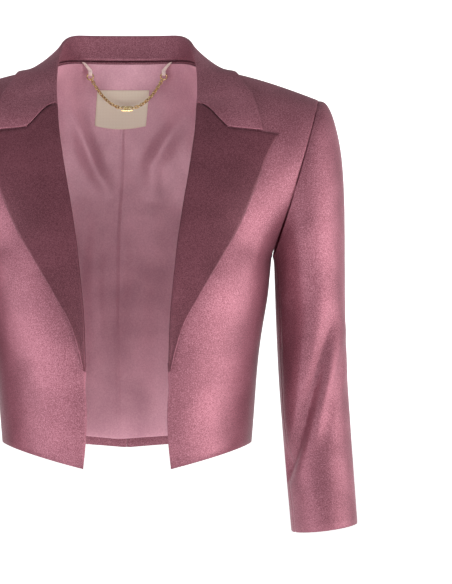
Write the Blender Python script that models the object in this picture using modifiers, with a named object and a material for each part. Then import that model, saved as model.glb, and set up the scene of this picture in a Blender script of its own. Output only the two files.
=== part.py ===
"""Spencer jacket: a cropped, collared satin jacket with peak lapels, open at the front and filled out as when worn.

Sizes in the tables are millimetres. +X is the wearer's left, -Y the front and +Z up. The origin is midway
between the two side neck points. Every table gives the left half, and the right half is its mirror image.
"""

import math

import bmesh
import bpy
import numpy as np
from mathutils import Matrix
from mathutils import Vector
from mathutils.bvhtree import BVHTree

MM = 0.001
LEFT = 1
RIGHT = -1
SIDE_NAMES = {LEFT: "left", RIGHT: "right"}
# Points nearer than this, in metres, count as one
SAME_PLACE = 1e-6

# Cloth: how thick each layer is, and how far apart pieces lie
CLOTH_WALL = 1.6
LINING_WALL = 1.0
FOLDED_WALL = 1.8
LABEL_WALL = 1.0
LAYER_GAP = 0.3
LINING_GAP = 0.7
SIDE_SEAM = 0.6
SHOULDER_SEAM = 2.4
SLEEVE_SEAM = 1.3
ARMHOLE_SEAM = 0.4

# Shoulder seam, from the side neck point to the shoulder tip
SIDE_NECK = (79.0, 8.0, -3.2)
SHOULDER_TIP = (200.0, 0.0, -40.0)
SHOULDER_RISE = 3.6

# Armhole: a flat oval hoop from the shoulder tip to the underarm
UNDERARM = (152.0, 0.0, -205.0)
ARMHOLE_HALF_DEPTH = 56.0
ARMHOLE_ROWS = 12
SHOULDER_CROWDING = 1.3

# Side seam below the underarm: x, y, z
SIDE_SEAM_LINE = (
    (152.0, 0.0, -205.0),
    (147.0, 0.0, -249.0),
    (141.0, 0.0, -282.0),
    (137.0, 0.0, -314.0),
    (134.5, 0.0, -346.0),
    (132.5, 0.0, -374.0),
    (130.5, 0.0, -397.0),
)
SIDE_ROWS = 9

# Inner edge of the front: down the neck, then down the line where the lapel rolls, then the bare front edge
NECK_LINE = (
    (79.0, 8.0, -3.2),
    (79.8, 3.0, -4.6),
    (80.6, -5.0, -9.5),
    (80.6, -16.0, -19.0),
    (79.2, -30.0, -33.0),
    (76.0, -43.0, -47.0),
)
ROLL_LINE = (
    (71.0, -45.0, -48.0),
    (70.0, -55.0, -69.0),
    (67.0, -65.0, -90.0),
    (62.0, -78.0, -121.0),
    (57.4, -88.0, -146.0),
    (53.3, -96.0, -171.5),
    (50.2, -101.0, -192.0),
    (47.3, -107.0, -220.0),
    (43.7, -112.0, -252.0),
    (41.7, -115.0, -289.0),
    (41.2, -116.0, -314.0),
)
FRONT_EDGE = (
    (40.9, -116.0, -340.0),
    (40.4, -115.5, -359.0),
    (41.6, -114.5, -398.5),
    (44.2, -113.0, -419.0),
)
INNER_AT_UNDERARM = 0.53

# Across the front at each height: at is 0 at the shoulder and 1 at the hem. The turns are the angles in plan, in
# degrees, by which the cloth heads forward from its inner and outer edge, and the reaches are how far it keeps to them
FRONT_COLUMNS = 12
FRONT_FULLNESS = (
    # at, inner turn, inner reach, outer turn, outer reach
    (0.00, 4.0, 0.33, -4.0, 0.33),
    (0.10, 8.0, 0.34, 8.0, 0.33),
    (0.27, 14.0, 0.36, 28.0, 0.34),
    (0.42, 12.0, 0.39, 62.0, 0.34),
    (0.53, 9.0, 0.42, 88.0, 0.38),
    (0.66, 6.0, 0.41, 90.0, 0.38),
    (0.82, 2.0, 0.38, 90.0, 0.37),
    (1.00, 0.0, 0.36, 90.0, 0.36),
)

# Centre back from the neck to the hem: x, y, z
CENTRE_BACK_LINE = (
    (0.0, 74.0, 6.5),
    (0.0, 79.0, -15.0),
    (0.0, 88.0, -50.0),
    (0.0, 97.0, -90.0),
    (0.0, 100.0, -130.0),
    (0.0, 98.0, -200.0),
    (0.0, 91.0, -255.0),
    (0.0, 84.0, -300.0),
    (0.0, 79.5, -355.0),
    (0.0, 78.0, -408.0),
)
CENTRE_AT_UNDERARM = 0.50
BACK_NECK_LINE = (
    (0.0, 74.0, 6.5),
    (22.0, 73.4, 6.5),
    (42.0, 69.0, 6.4),
    (58.0, 56.0, 5.8),
    (68.0, 39.0, 3.6),
    (75.0, 22.0, 0.2),
    (79.0, 8.0, -3.2),
)
BACK_NECK_COLUMNS = 6
BACK_SHOULDER_COLUMNS = 8
NECK_SHARE = 0.42
YOKE_DEPTH = 0.42
BACK_FULLNESS = (
    # at, inner turn, inner reach, outer turn, outer reach
    (0.00, 0.0, 0.36, 4.0, 0.33),
    (0.10, 0.0, 0.36, 14.0, 0.33),
    (0.27, 0.0, 0.40, 40.0, 0.34),
    (0.42, 0.0, 0.42, 68.0, 0.36),
    (0.53, 0.0, 0.44, 90.0, 0.40),
    (0.66, 0.0, 0.43, 90.0, 0.38),
    (0.82, 0.0, 0.41, 90.0, 0.37),
    (1.00, 0.0, 0.39, 90.0, 0.36),
)

# Sleeve hoops from the armhole to the cuff: each is an oval through an outer and an inner point
SLEEVE_HOOPS = (
    # outer x, outer z, inner x, inner z, middle y, half depth
    (200.0, -40.0, 152.0, -205.0, 0.0, 56.0),
    (207.5, -40.2, 153.2, -208.0, 0.0, 57.2),
    (214.5, -52.0, 153.7, -213.0, 0.0, 58.2),
    (219.7, -70.0, 154.0, -221.0, 0.0, 59.0),
    (223.7, -89.0, 154.3, -231.0, 0.0, 59.3),
    (226.3, -112.0, 154.7, -244.0, 0.0, 59.3),
    (227.6, -140.0, 155.2, -261.0, -0.2, 59.0),
    (228.2, -172.0, 155.9, -280.0, -0.8, 58.3),
    (228.2, -207.0, 156.8, -301.0, -1.8, 57.4),
    (228.2, -243.0, 157.9, -325.0, -3.5, 56.4),
    (228.3, -280.0, 159.4, -350.0, -6.0, 55.3),
    (229.0, -318.0, 161.2, -376.0, -9.5, 54.0),
    (231.4, -356.0, 163.2, -403.0, -14.5, 52.5),
    (233.5, -396.0, 165.0, -430.0, -21.0, 51.0),
    (236.1, -438.0, 167.3, -459.0, -28.0, 49.5),
    (238.5, -479.0, 169.6, -488.0, -35.0, 48.0),
)
# Round the hoop, 0 is the outer side, 90 the front, 180 the side by the body and -90 the back
FRONT_SLEEVE_SEAM_AT = 158.0
BACK_SLEEVE_SEAM_AT = -112.0
TOP_SLEEVE_COLUMNS = 18
UNDER_SLEEVE_COLUMNS = 6

# Long soft folds down the sleeve. Along is 0 at the armhole and 1 at the cuff, depth is inwards where it is positive
SLEEVE_FOLDS = (
    # from along, from angle, to along, to angle, width in degrees, depth
    (0.53, 58.0, 0.93, 162.0, 9.0, 2.6),
    (0.57, 34.0, 0.97, 136.0, 11.0, -1.6),
    (0.50, 84.0, 0.86, 178.0, 10.0, -1.2),
    (0.50, -60.0, 0.86, -128.0, 10.0, 2.0),
)

# Turned pieces: the lapels and the collar fold over at a roll line and lie on the body
ROLL_RADIUS = 2.6
ROLL_ABOVE_PANEL = ROLL_RADIUS - CLOTH_WALL
PANEL_SETBACK = ROLL_RADIUS + 2.4
LAPEL_LIFT = 0.9
LEAF_EDGE_LIFT = 1.2
ROLL_STEPS = 4
# How far down its leaf each point of a row lies, with one point at the bend of the gorge line
LAPEL_LEAF_PARTS = (0.14, 0.29, 0.431, 0.57, 0.71, 0.86, 1.0)
COLLAR_LEAF_PARTS = (0.14, 0.27, 0.40, 0.522, 0.68, 0.84, 1.0)
LEAF_CLEAR = LAYER_GAP + FOLDED_WALL + LAPEL_LIFT
SETTLES_OVER = 0.3
BEND_FADES_OVER = 0.3
LAID_FROM_BEND = 0.1
COLLAR_ON_FRONT_Y = -10.0
PANEL_EDGE_INSET = 0.5
LAPEL_STAND_GAP = 0.8
LAPEL_ROWS = 17

# The seam where the collar meets the lapel, then the notch between them, as x and z seen from the front
GORGE_LINE = (
    (71.0, -48.0),
    (76.5, -50.5),
    (87.5, -60.0),
    (101.3, -74.8),
    (138.5, -77.6),
    (155.0, -79.3),
)
GORGE_HALF_GAP = 0.4
LAPEL_TIP_X = 155.0
COLLAR_TIP_X = 138.5

# Outer edge of the lapel from its tip to where it ends, as x and z seen from the front
LAPEL_EDGE = (
    (155.0, -79.3),
    (146.0, -95.4),
    (136.7, -117.7),
    (127.0, -141.5),
    (119.0, -160.4),
    (107.7, -183.8),
    (99.6, -197.7),
    (87.2, -218.6),
    (73.2, -242.8),
    (59.2, -267.0),
    (51.5, -286.0),
    (48.2, -300.0),
    (46.4, -313.0),
)

# The collar from the centre back to the gorge: where it is sewn, where it rolls and the edge of its leaf
COLLAR_ROWS = 16
GORGE_CROWDING = 1.6
COLLAR_STATIONS = (
    # sewn x, y, z, roll x, y, z, edge x, y, z, share of the gorge's bend
    (0.0, 75.2, 7.2, 0.0, 78.5, 35.0, 0.0, 88.0, -10.0, 0.0),
    (22.0, 74.6, 7.2, 24.0, 77.5, 35.0, 30.0, 86.5, -10.5, 0.0),
    (42.6, 69.9, 7.2, 45.5, 72.0, 34.6, 58.0, 78.0, -11.5, 0.0),
    (58.6, 56.8, 6.8, 60.6, 58.0, 33.8, 83.0, 60.0, -12.0, 0.0),
    (68.8, 39.4, 4.6, 67.2, 41.0, 26.4, 100.0, 36.0, -12.0, 0.0),
    (75.6, 22.4, 1.4, 70.4, 25.0, 15.5, 108.5, 14.0, -10.4, 0.0),
    (78.6, 7.6, -2.0, 71.4, 9.0, 3.4, 113.5, -2.0, -13.6, 0.0),
    (79.6, -4.0, -8.0, 72.2, -6.0, -9.0, 119.0, -14.0, -23.0, 0.0),
    (79.6, -15.0, -17.6, 72.6, -18.0, -20.0, 126.0, -28.0, -34.5, 0.15),
    (78.6, -29.0, -31.6, 72.3, -31.0, -34.0, 132.0, -40.0, -51.0, 0.50),
    (75.8, -42.4, -46.2, 71.2, -44.5, -47.4, 138.5, -52.0, -77.6, 1.0),
)

# Pieces are laid on the body by looking along +Y from here, and a look that misses tries again further out
LOOK_FROM_Y = -400.0
LOOK_STEPS = 12
# A point inside the left half of the body, which tells its outer side from its inner one
INSIDE_POINT = (90.0, 8.0, -120.0)

# Back lining and its label
LINING_ABOVE_HEM = 9.0
LINING_EDGE_SETBACK = 2.5
FOLD_FREE_COLUMNS = 3.0
# Drape folds of the lining, as inward ridges: x and z of both ends, width and height
LINING_FOLDS = (
    (-62.0, -30.0, -16.0, -130.0, 9.0, 2.4),
    (66.0, -52.0, 30.0, -104.0, 8.0, 2.2),
    (-44.0, -110.0, -50.0, -330.0, 11.0, 2.2),
    (22.0, -120.0, 27.0, -350.0, 12.0, 2.0),
    (56.0, -190.0, 50.0, -380.0, 12.0, 1.8),
)
LABEL_CORNERS = ((-32.0, -24.0), (24.0, -24.0), (20.4, -62.0), (-34.6, -62.0))
LABEL_BOW = 3.5
LABEL_GRID = (6, 4)

# Hanger chain: a ring in each ribbon tab, links on a hanging curve, and a plain plate in the middle
SWING_AXIS_Y = 59.4
SWING_AXIS_Z = -7.2
RING_X = 39.3
RING_RADIUS = 3.4
RING_WIRE = 0.7
LINK_WIRE = 0.55
LINK_HALF_LENGTH = 2.25
LINK_HALF_WIDTH = 1.5
LINK_CLEARANCE = 0.3
LINKS_A_SIDE = 15
LINK_TWIST = 45.0
CHAIN_SAG_LIMIT = 4000.0
CHAIN_SAG_STEPS = 80
RING_SEGMENTS = (16, 6)
LINK_SEGMENTS = (10, 4)
PLATE_END_STEPS = 8
PLATE_HOLE_SIDES = 10
PLATE_LENGTH = 14.0
PLATE_HEIGHT = 6.0
PLATE_THICKNESS = 1.2
PLATE_RIM = 0.9
PLATE_HOLE_RADIUS = 1.2
RIBBON_WIDTH = 4.2
RIBBON_THICKNESS = 0.9
RIBBON_BORE = 1.9
RIBBON_ROOT_Z = 5.2
RIBBON_ROOT_X = 46.5
RIBBON_SIDES = 12
RIBBON_LOOP_END = 60.0
RIBBON_LEG_START = 3.6
RIBBON_END_BELOW_ROOT = 3.5


# Curves through the rows of a table


def knots_of(rows):
    """How far along the curve each row of a table of points lies, from 0 to 1."""
    steps = np.linalg.norm(np.diff(rows[:, :3], axis=0), axis=1)
    travelled = np.concatenate([[0.0], np.cumsum(steps)])
    return travelled / travelled[-1]


def smooth_at(knots, rows, places):
    """Values on a smooth curve that passes through every row at its knot."""
    rows = np.asarray(rows, float)
    places = np.atleast_1d(np.asarray(places, float))
    slopes = np.gradient(rows, knots, axis=0)
    before = np.clip(np.searchsorted(knots, places, side="right") - 1, 0, len(knots) - 2)
    span = (knots[before + 1] - knots[before])[:, None]
    part = (places - knots[before])[:, None] / span
    rest = 1.0 - part
    return (
        rows[before] * rest**2 * (1.0 + 2.0 * part)
        + slopes[before] * span * part * rest**2
        + rows[before + 1] * part**2 * (3.0 - 2.0 * part)
        - slopes[before + 1] * span * part**2 * rest
    )


def along(rows, places):
    """Points at the given fractions of a smooth line through the points of a table."""
    rows = np.asarray(rows, float)
    return smooth_at(knots_of(rows), rows, places)


def fullness_at(table, places):
    table = np.asarray(table, float)
    return smooth_at(table[:, 0], table[:, 1:], places)


def fade(value):
    """Falls smoothly from 1 to 0 as value goes from 0 to 1."""
    value = np.clip(value, 0.0, 1.0)
    return 1.0 - value * value * (3.0 - 2.0 * value)


def unit(vector):
    vector = np.asarray(vector, float)
    return vector / np.linalg.norm(vector)


# Panels of cloth


def across(inner, outer, fullness, way, places):
    """One row of a panel, from its inner to its outer edge. Way is -1 on a front and 1 on a back.

    In plan it is a curve that leaves each edge at that edge's turn. Seen from the front it is a straight line.
    """
    inner_turn, inner_reach, outer_turn, outer_reach = fullness
    chord = np.linalg.norm((outer - inner)[:2])
    first_turn = math.radians(inner_turn)
    last_turn = math.radians(outer_turn)
    first = inner[:2] + chord * inner_reach * np.array([math.cos(first_turn), way * math.sin(first_turn)])
    last = outer[:2] + chord * outer_reach * np.array([-math.cos(last_turn), way * math.sin(last_turn)])
    part = np.asarray(places, float)[:, None]
    rest = 1.0 - part
    plan = inner[:2] * rest**3 + 3.0 * first * part * rest**2 + 3.0 * last * part**2 * rest + outer[:2] * part**3
    share = (plan[:, 0] - inner[0]) / (outer[0] - inner[0])
    height = inner[2] + share * (outer[2] - inner[2])
    return np.column_stack([plan, height])


def shoulder_seam(places):
    """Points on the shoulder seam, which rises a little between the neck and the tip."""
    part = np.asarray(places, float)[:, None]
    line = np.array(SIDE_NECK) * (1.0 - part) + np.array(SHOULDER_TIP) * part
    line[:, 2] += SHOULDER_RISE * np.sin(math.pi * part[:, 0])
    return line


def armhole_point(angle, way):
    """A point on the armhole, where angle goes from 0 at the shoulder tip to 180 degrees at the underarm."""
    top = np.array(SHOULDER_TIP)
    bottom = np.array(UNDERARM)
    middle = (top + bottom) / 2.0
    half = (top - bottom) / 2.0
    turn = math.radians(angle)
    depth = np.array([0.0, way * ARMHOLE_HALF_DEPTH, 0.0])
    return middle + half * math.cos(turn) + depth * math.sin(turn)


def armhole_parts():
    """How far round the armhole each row starts, closer together near the shoulder, where the cloth turns most."""
    return np.linspace(0.0, 1.0, ARMHOLE_ROWS + 1) ** SHOULDER_CROWDING


def outer_edge(way):
    """The outer edge of a front or back: down the armhole, then down the side seam, one point a row."""
    armhole = [armhole_point(180.0 * part, way) for part in armhole_parts()]
    side = along(SIDE_SEAM_LINE, np.linspace(0.0, 1.0, SIDE_ROWS + 1))[1:]
    return np.vstack([armhole, side])


def row_places(at_underarm):
    """How far down the inner edge each row starts, when the underarm's row starts at the given fraction."""
    upper = at_underarm * armhole_parts()
    lower = np.linspace(at_underarm, 1.0, SIDE_ROWS + 1)[1:]
    return np.concatenate([upper, lower])


def yoke_corrected(rows, wanted, places):
    """Rows whose first one is exactly the wanted curve, with the change dying away down the panel."""
    change = wanted - rows[0]
    weights = np.clip(1.0 - places / YOKE_DEPTH, 0.0, 1.0) ** 3
    return np.array([row + change * weight for row, weight in zip(rows, weights)])


def front_rows():
    """The outer face of the left front, row by row from the shoulder to the hem."""
    places = row_places(INNER_AT_UNDERARM)
    edge = np.vstack([NECK_LINE, panel_roll_line(), FRONT_EDGE])
    inner = along(edge, places)
    outer = outer_edge(-1.0)
    fullness = fullness_at(FRONT_FULLNESS, places)
    columns = np.linspace(0.0, 1.0, FRONT_COLUMNS + 1)
    rows = np.array([across(*row, -1.0, columns) for row in zip(inner, outer, fullness)])
    return yoke_corrected(rows, shoulder_seam(columns), places)


def back_rows():
    """The outer face of the left back, row by row from the neck and shoulder to the hem."""
    places = row_places(CENTRE_AT_UNDERARM)
    inner = along(CENTRE_BACK_LINE, places)
    outer = outer_edge(1.0)
    fullness = fullness_at(BACK_FULLNESS, places)
    neck_columns = np.linspace(0.0, NECK_SHARE, BACK_NECK_COLUMNS + 1)
    shoulder_columns = np.linspace(NECK_SHARE, 1.0, BACK_SHOULDER_COLUMNS + 1)[1:]
    columns = np.concatenate([neck_columns, shoulder_columns])
    rows = np.array([across(*row, 1.0, columns) for row in zip(inner, outer, fullness)])
    neck = along(BACK_NECK_LINE, neck_columns / NECK_SHARE)
    shoulder = shoulder_seam((shoulder_columns - NECK_SHARE) / (1.0 - NECK_SHARE))
    return yoke_corrected(rows, np.vstack([neck, shoulder]), places)


def panel_roll_line():
    """The roll line on the front panel, set back from the fold of the lapel that covers it."""
    line = np.array(ROLL_LINE)
    line[:, 0] += PANEL_SETBACK
    return line


def tree_of(grids):
    """The faces of some grids, ready for finding where a line meets them."""
    points = []
    faces = []
    for grid in grids:
        start = len(points)
        height, width = grid.shape[:2]
        points.extend(grid.reshape(-1, 3).tolist())
        for row in range(height - 1):
            for column in range(width - 1):
                corner = start + row * width + column
                faces.append((corner, corner + 1, corner + width + 1, corner + width))
    return BVHTree.FromPolygons(points, faces)


class Body:
    """The outer faces of the panels, for laying other pieces on."""

    def __init__(self, grids):
        self.tree = tree_of(grids)

    def from_front(self, x, z):
        """The point and outward normal that a look along +Y meets at this x and z."""
        for step in range(LOOK_STEPS):
            place, normal, _, _ = self.tree.ray_cast(Vector((x + step, LOOK_FROM_Y, z)), Vector((0.0, 1.0, 0.0)))
            if place is not None and place.y < 0.0:
                return np.array(place) - np.array([step, 0.0, 0.0]), outward(np.array(normal), place)
        return None

    def lifted(self, point, least):
        """The point, moved out where needed so that it lies at least this far outside the body."""
        place, normal, _, _ = self.tree.find_nearest(Vector(point))
        normal = outward(np.array(normal), place)
        height = float(np.dot(np.asarray(point) - np.array(place), normal))
        if height >= least:
            return np.asarray(point, float)
        return np.array(place) + normal * least

    def normal_near(self, point):
        place, normal, _, _ = self.tree.find_nearest(Vector(point))
        return outward(np.array(normal), place)


def outward(normal, place):
    """The normal, turned to point away from the inside of the body."""
    return normal if np.dot(normal, np.array(place) - np.array(INSIDE_POINT)) > 0.0 else -normal


def gorge_at(part, end_x):
    """A point of the gorge line at a fraction of the way from the roll to end_x, as x and z."""
    line = np.array(GORGE_LINE)
    travelled = np.concatenate([[0.0], np.cumsum(np.linalg.norm(np.diff(line, axis=0), axis=1))])
    end = np.interp(end_x, line[:, 0], travelled)
    return np.array([np.interp(part * end, travelled, line[:, 0]), np.interp(part * end, travelled, line[:, 1])])


def turned_row(sewn, roll, normal):
    """The start of a folded piece's section: up from its seam and round its roll."""
    up = unit(roll - sewn)
    out = unit(normal - np.dot(normal, up) * up)
    centre = roll - up * ROLL_RADIUS
    start = sewn - out * ROLL_RADIUS
    before_roll = centre - out * ROLL_RADIUS
    points = [start, (start + before_roll) / 2.0]
    for step in range(ROLL_STEPS + 1):
        turn = math.pi * step / ROLL_STEPS
        points.append(centre + ROLL_RADIUS * (math.sin(turn) * up - math.cos(turn) * out))
    return points


def leaf_points(body, first, edge, bend, parts, gorge_end_x, gap, from_front):
    """Points of a leaf laid on the body, from its roll to its edge.

    Bend is how far, from 0 to 1, the row follows the gorge line, and gap is how far it stays above that line.
    """
    gorge_end = gorge_at(1.0, gorge_end_x)
    points = []
    for part in parts:
        point = first * (1.0 - part) + edge * part
        straight = np.array(GORGE_LINE[0]) * (1.0 - part) + gorge_end * part
        shift = bend * (gorge_at(part, gorge_end_x) - straight)
        point[0] += shift[0]
        point[2] += shift[1] + gap * bend
        lift = LEAF_CLEAR + LEAF_EDGE_LIFT * part**4
        found = body.from_front(point[0], point[2]) if from_front else None
        if found is None:
            points.append(body.lifted(point, lift))
        else:
            settle = max(ROLL_ABOVE_PANEL + ROLL_RADIUS - LEAF_CLEAR, 0.0) * fade(part / SETTLES_OVER)
            points.append(found[0] + found[1] * (lift + settle))
    return points


def lapel_rows(body):
    """The visible face of the left lapel, from the gorge down."""
    places = np.linspace(0.0, 1.0, LAPEL_ROWS)
    rolls = along(ROLL_LINE, places)
    edges = along([(x, 0.0, z) for x, z in LAPEL_EDGE], places)
    rows = []
    for place, roll, edge in zip(places, rolls, edges):
        _, normal = body.from_front(roll[0] + PANEL_SETBACK + PANEL_EDGE_INSET, roll[2])
        bend = fade(place / BEND_FADES_OVER)
        seat = roll + normal * ROLL_ABOVE_PANEL
        seat[2] -= GORGE_HALF_GAP * bend
        inward = unit(np.array([-1.0, 0.0, 0.0]) + normal * normal[0])
        sewn = seat - inward * (ROLL_RADIUS + LAPEL_STAND_GAP)
        turned = turned_row(sewn, seat, normal)
        leaf = leaf_points(body, turned[-1], edge, bend, LAPEL_LEAF_PARTS, LAPEL_TIP_X, -GORGE_HALF_GAP, True)
        rows.append(turned + leaf)
    return np.array(rows)


def collar_half_rows(body):
    """The visible face of the left half of the collar, from the centre back to the gorge."""
    table = np.array(COLLAR_STATIONS)
    knots = knots_of(table[:, 3:6])
    places = 1.0 - (1.0 - np.linspace(0.0, 1.0, COLLAR_ROWS)) ** GORGE_CROWDING
    rows = []
    for station in smooth_at(knots, table, places):
        sewn, roll, edge, bend = station[:3], station[3:6], station[6:9], station[9]
        on_front = body.from_front(edge[0], edge[2]) if edge[1] < COLLAR_ON_FRONT_Y else None
        if on_front is not None:
            edge = on_front[0] + on_front[1] * (LEAF_CLEAR + LEAF_EDGE_LIFT)
        turned = turned_row(sewn, roll, body.normal_near(sewn))
        laid = bend > LAID_FROM_BEND
        leaf = leaf_points(body, turned[-1], edge, bend, COLLAR_LEAF_PARTS, COLLAR_TIP_X, GORGE_HALF_GAP, laid)
        rows.append(turned + leaf)
    return np.array(rows)


# Making the pieces


def collection_named(name):
    found = bpy.data.collections.new(name)
    bpy.context.scene.collection.children.link(found)
    return found


def finish_of(name, colour, roughness, metallic=0.0):
    material = bpy.data.materials.new(name)
    material.use_nodes = True
    shader = material.node_tree.nodes["Principled BSDF"]
    shader.inputs["Base Color"].default_value = (*colour, 1.0)
    shader.inputs["Roughness"].default_value = roughness
    shader.inputs["Metallic"].default_value = metallic
    material.diffuse_color = (*colour, 1.0)
    return material


def mirrored(grid, side):
    """The grid on its own side of the body. Its columns are turned round there, so that its faces stay outward."""
    if side == LEFT:
        return grid
    return (grid * np.array([-1.0, 1.0, 1.0]))[:, ::-1]


def drawn_in(grid, first_column=0.0, last_column=0.0, first_row=0.0):
    """The grid with its edges moved in along the cloth by these lengths."""
    grid = grid.copy()
    for edge, next_to_it, length in ((0, 1, first_column), (-1, -2, last_column)):
        step = grid[:, next_to_it] - grid[:, edge]
        grid[:, edge] += step / np.linalg.norm(step, axis=1)[:, None] * length
    step = grid[1] - grid[0]
    grid[0] += step / np.linalg.norm(step, axis=1)[:, None] * first_row
    return grid


def cloth(name, grid, wall, material, group):
    """A piece of cloth: its outer face through the points of a grid, thickened inwards."""
    rows, columns = grid.shape[:2]
    mesh = bpy.data.meshes.new(name)
    build = bmesh.new()
    bmesh.ops.create_grid(build, x_segments=columns - 1, y_segments=rows - 1, size=1.0)
    build.verts.ensure_lookup_table()
    for vertex, point in zip(build.verts, grid.reshape(-1, 3)):
        vertex.co = Vector(point) * MM
    bmesh.ops.triangulate(build, faces=build.faces[:])
    build.to_mesh(mesh)
    build.free()
    piece = bpy.data.objects.new(name, mesh)
    group.objects.link(piece)
    mesh.materials.append(material)
    mesh.shade_smooth()
    thickness = piece.modifiers.new("Wall", "SOLIDIFY")
    thickness.thickness = wall * MM
    thickness.offset = -1.0
    return piece


# Sleeves


def fold_depth(place, angle):
    """How far the sleeve's folds push its cloth in at one place along and round it."""
    depth = 0.0
    for from_place, from_angle, to_place, to_angle, width, deep in SLEEVE_FOLDS:
        part = (place - from_place) / (to_place - from_place)
        if 0.0 < part < 1.0:
            middle = from_angle + (to_angle - from_angle) * part
            away = (angle - middle + 180.0) % 360.0 - 180.0
            depth += deep * math.sin(math.pi * part) * math.exp(-((away / width) ** 2))
    return depth


def sleeve_rows(from_angle, to_angle, columns):
    """The outer face of part of the left sleeve, hoop by hoop, round it from one angle to another."""
    angles = np.linspace(from_angle, to_angle, columns + 1)
    last = len(SLEEVE_HOOPS) - 1
    rows = []
    for index, (outer_x, outer_z, inner_x, inner_z, middle_y, half_depth) in enumerate(SLEEVE_HOOPS):
        outer = np.array([outer_x, middle_y, outer_z])
        inner = np.array([inner_x, middle_y, inner_z])
        middle = (outer + inner) / 2.0
        half = (outer - inner) / 2.0
        if index == 0:
            middle = middle + unit([half[2], 0.0, -half[0]]) * ARMHOLE_SEAM
        deep = np.array([0.0, -half_depth, 0.0])
        row = []
        for angle in angles:
            turn = math.radians(angle)
            out = half * math.cos(turn) + deep * math.sin(turn)
            row.append(middle + out - unit(out) * fold_depth(index / last, angle))
        rows.append(row)
    return np.array(rows)


# Back lining and its label


def fold_height(x, z):
    """How far the lining's folds stand in from the back at this x and z."""
    height = 0.0
    for from_x, from_z, to_x, to_z, width, high in LINING_FOLDS:
        start = np.array([from_x, from_z])
        line = np.array([to_x, to_z]) - start
        part = np.dot(np.array([x, z]) - start, line) / np.dot(line, line)
        if 0.0 < part < 1.0:
            away = abs(line[0] * (z - from_z) - line[1] * (x - from_x)) / np.linalg.norm(line)
            height += high * math.sin(math.pi * part) * math.exp(-((away / width) ** 2))
    return height


def normals_of(grid):
    """Outward normals of a grid of points whose columns and rows turn the way the back's do."""
    across_step = np.gradient(grid, axis=1)
    down_step = np.gradient(grid, axis=0)
    normal = np.cross(across_step, down_step)
    return normal / np.linalg.norm(normal, axis=2)[:, :, None]


def lining_rows(back):
    """The inward face of the back lining. It follows both backs from side to side, inside their walls."""
    whole = np.concatenate([(back * np.array([-1.0, 1.0, 1.0]))[:, :0:-1], back], axis=1)
    normals = normals_of(whole)
    inside = whole - normals * (CLOTH_WALL + LINING_GAP)
    folds = np.array([[fold_height(point[0], point[2]) for point in row] for row in inside])
    columns = np.arange(whole.shape[1])
    from_side = np.minimum(columns, columns[::-1]) / FOLD_FREE_COLUMNS
    inside -= normals * (LINING_WALL + folds * np.minimum(from_side, 1.0))[:, :, None]
    inside[-1, :, 2] += LINING_ABOVE_HEM
    return drawn_in(inside, first_row=LINING_EDGE_SETBACK)


def label_rows(face):
    """The visible face of the label, laid on the lining. Its lower edge is bowed."""
    (top_left, top_right, low_right, low_left) = (np.array(corner) for corner in LABEL_CORNERS)
    columns, height = LABEL_GRID
    rows = []
    for down in np.linspace(0.0, 1.0, height + 1):
        row = []
        for part in np.linspace(0.0, 1.0, columns + 1):
            upper = top_left * (1.0 - part) + top_right * part
            lower = low_left * (1.0 - part) + low_right * part
            x, z = upper * (1.0 - down) + lower * down
            z -= LABEL_BOW * down * math.sin(math.pi * part)
            place = face.ray_cast(Vector((x, 0.0, z)), Vector((0.0, 1.0, 0.0)))[0]
            row.append((x, place.y - LAYER_GAP - LABEL_WALL, z))
        rows.append(row)
    return np.array(rows)


# Hanger chain


def hanging_curve(half_span, half_length):
    """x and z of a point at each length along half of a hanging chain, from its lowest point up."""
    low, high = 1.0, CHAIN_SAG_LIMIT
    for _ in range(CHAIN_SAG_STEPS):
        scale = (low + high) / 2.0
        if scale * math.sinh(half_span / scale) > half_length:
            low = scale
        else:
            high = scale

    def at(length):
        x = scale * math.asinh(length / scale)
        return np.array([x, 0.0, scale * (math.cosh(x / scale) - 1.0)]), math.atan(length / scale)

    return at


def torus(name, major, minor, segments):
    bpy.ops.mesh.primitive_torus_add(
        major_radius=major * MM,
        minor_radius=minor * MM,
        major_segments=segments[0],
        minor_segments=segments[1],
    )
    ring = bpy.context.object
    ring.name = name
    return ring


def placed(piece, matrix, material, group, parent):
    """Bakes a place into a piece's mesh, then hands the piece to its group and to the empty that it swings with."""
    piece.data.transform(matrix)
    piece.data.materials.append(material)
    piece.data.shade_smooth()
    for found in list(piece.users_collection):
        found.objects.unlink(piece)
    group.objects.link(piece)
    piece.parent = parent
    piece.matrix_parent_inverse = Matrix.Translation(parent.location).inverted()


def along_direction(middle, tilt, twist):
    """A place whose own X runs up the chain at the given tilt, turned about it by the twist."""
    turn = Matrix.Rotation(-tilt, 4, "Y")
    return Matrix.Translation(Vector(middle) * MM) @ turn @ Matrix.Rotation(twist, 4, "X")


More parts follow.
